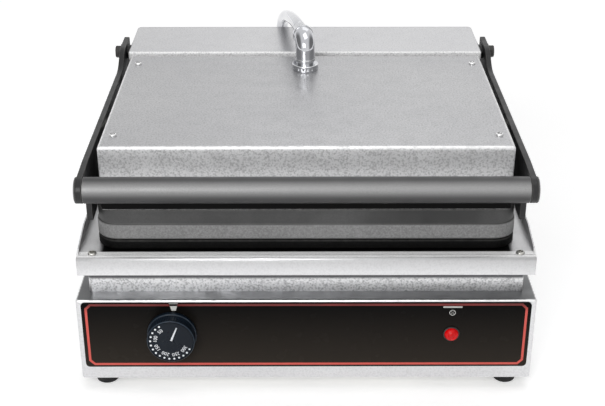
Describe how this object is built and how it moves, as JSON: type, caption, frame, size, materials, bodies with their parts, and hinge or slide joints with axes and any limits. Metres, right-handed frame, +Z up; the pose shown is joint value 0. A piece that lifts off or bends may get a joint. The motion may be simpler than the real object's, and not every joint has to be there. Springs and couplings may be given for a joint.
{
  "type": "contact grill",
  "caption": "Countertop contact grill: steel base with a dial and lamp, ribbed cast plates, hinged self-levelling lid with a bar handle, and a chrome conduit to the lid.",
  "frame": {"origin": "on the worktop under the centre of the whole grill's plan box, lid closed", "axes": "+X to the user's right along the handle, +Y away from the user to the hinge, +Z up"},
  "size_m": [0.43, 0.4232, 0.2908],
  "materials": {
    "stainless_satin": "satin brushed stainless steel sheet",
    "cast_plate": "seasoned cast iron",
    "arm_paint": "black satin paint on steel bar",
    "handle_black": "satin black phenolic",
    "panel_black": "gloss black panel with a thin red line",
    "knob_black": "black dial knob with white marks",
    "lamp_red": "clear red lens",
    "chrome_fitting": "polished chrome",
    "zinc_steel": "zinc plated steel",
    "element_steel": "heat tinted steel tube",
    "brass": "turned brass",
    "wool": "mineral wool mat",
    "white_plastic": "white heat resistant plastic",
    "rubber_black": "black rubber",
    "dark_plastic": "black moulded plastic"
  },
  "bodies": {
    "base": {"base_shell": "stainless_satin", "bottom_plate": "zinc_steel", "bottom_screws": "zinc_steel", "feet": "rubber_black", "foot_screws": "zinc_steel", "control_panel": "panel_black", "thermostat_body": "dark_plastic", "thermostat_screws": "zinc_steel", "thermostat_capillary": "brass", "pilot_lamp_lens": "lamp_red", "pilot_lamp_body": "dark_plastic", "riser_frame": "stainless_satin", "deck": "stainless_satin", "deck_screws": "zinc_steel", "lower_plate": "cast_plate", "lower_pillars": "zinc_steel", "lower_element": "element_steel", "lower_clamp_plate": "zinc_steel", "lower_clamp_bolts": "zinc_steel", "lower_insulation": "wool", "terminal_block": "white_plastic", "mains_gland": "dark_plastic", "rear_housing": "stainless_satin", "rear_housing_back": "stainless_satin", "rear_cover_screws": "zinc_steel", "hinge_brackets": "zinc_steel", "hinge_bushes": "brass", "spring_anchors": "zinc_steel", "counterbalance_springs": "zinc_steel", "rear_elbow": "chrome_fitting", "rear_elbow_nuts": "chrome_fitting", "conduit_rear": "chrome_fitting"},
    "arms": {"left_arm": "arm_paint", "right_arm": "arm_paint", "handle_grip": "handle_black", "handle_rod": "zinc_steel", "handle_end_screws": "handle_black", "hinge_shaft": "zinc_steel", "hinge_spacers": "arm_paint", "hinge_washers": "zinc_steel", "hinge_nuts": "zinc_steel", "spring_levers": "zinc_steel", "conduit_front": "chrome_fitting"},
    "lid": {"upper_plate": "cast_plate", "lid_cover": "stainless_satin", "cover_pillars": "zinc_steel", "cover_screws": "zinc_steel", "upper_element": "element_steel", "upper_clamp_plate": "zinc_steel", "upper_clamp_bolts": "zinc_steel", "upper_insulation": "wool", "hanger_brackets": "zinc_steel", "hanger_bolts": "zinc_steel", "hanger_spacers": "zinc_steel", "lid_elbow": "chrome_fitting", "lid_elbow_nuts": "chrome_fitting"},
    "knob": {"knob": "knob_black", "thermostat_spindle": "zinc_steel"}
  },
  "joints": [
    {"name": "lid_hinge", "type": "hinge", "parent": "base", "child": "arms", "pos_m": [0, 0.11113, 0.24], "axis": [-1, 0, 0], "range_deg": [0, 65], "deforming": ["conduit_rear", "counterbalance_springs"]},
    {"name": "plate_float", "type": "hinge", "parent": "arms", "child": "lid", "pos_m": [0, -0.04637, 0.218], "axis": [-1, 0, 0], "range_deg": [-3.25, 0], "deforming": ["conduit_front"]},
    {"name": "knob_turn", "type": "hinge", "parent": "base", "child": "knob", "pos_m": [-0.126, -0.19287, 0.066], "axis": [0, 1, 0], "range_deg": [-20, 250]}
  ],
  "couplings": [
    {"joint": "plate_float", "follows": "lid_hinge", "ratio": -0.05}
  ]
}
